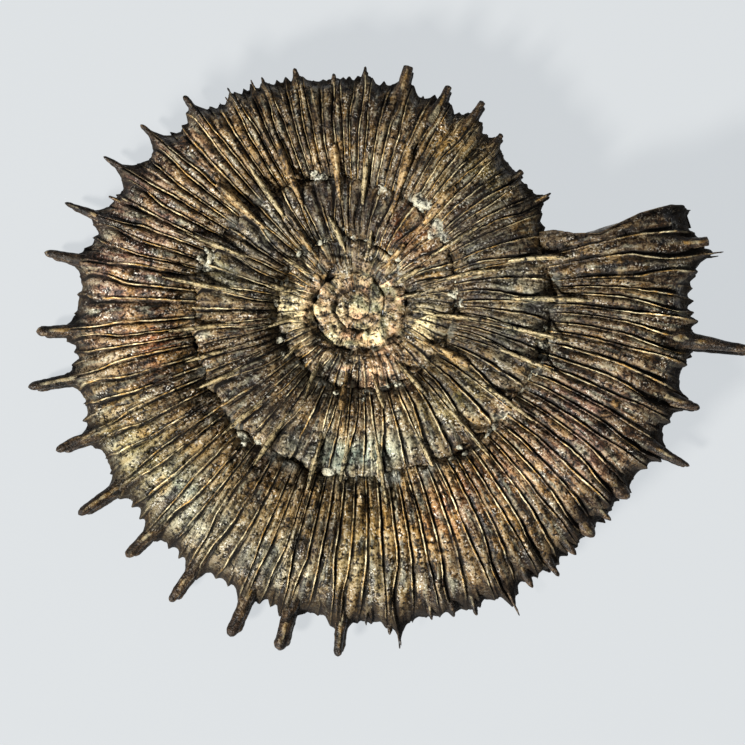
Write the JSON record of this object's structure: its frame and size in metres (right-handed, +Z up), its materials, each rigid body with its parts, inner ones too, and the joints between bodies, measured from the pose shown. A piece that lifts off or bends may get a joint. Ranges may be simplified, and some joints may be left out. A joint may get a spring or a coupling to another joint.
{
  "type": "ammonite fossil",
  "caption": "Coiled, finely ribbed ammonite shell turned to stone, with long spines along both outer shoulders, lying on its side.",
  "frame": {"origin": "middle of the fossil's outline, spines included, on the plane it rests on", "axes": "+Z up, out of the upper flank; +X towards the mouth's side of the coil; +Y towards the top of the picture"},
  "size_m": [0.1818, 0.1482, 0.0321],
  "materials": {
    "fossil_calcite": "brown and grey fossil calcite, cleaned and lightly waxed"
  },
  "bodies": {
    "root": {"ammonite": "fossil_calcite"}
  },
  "joints": []
}
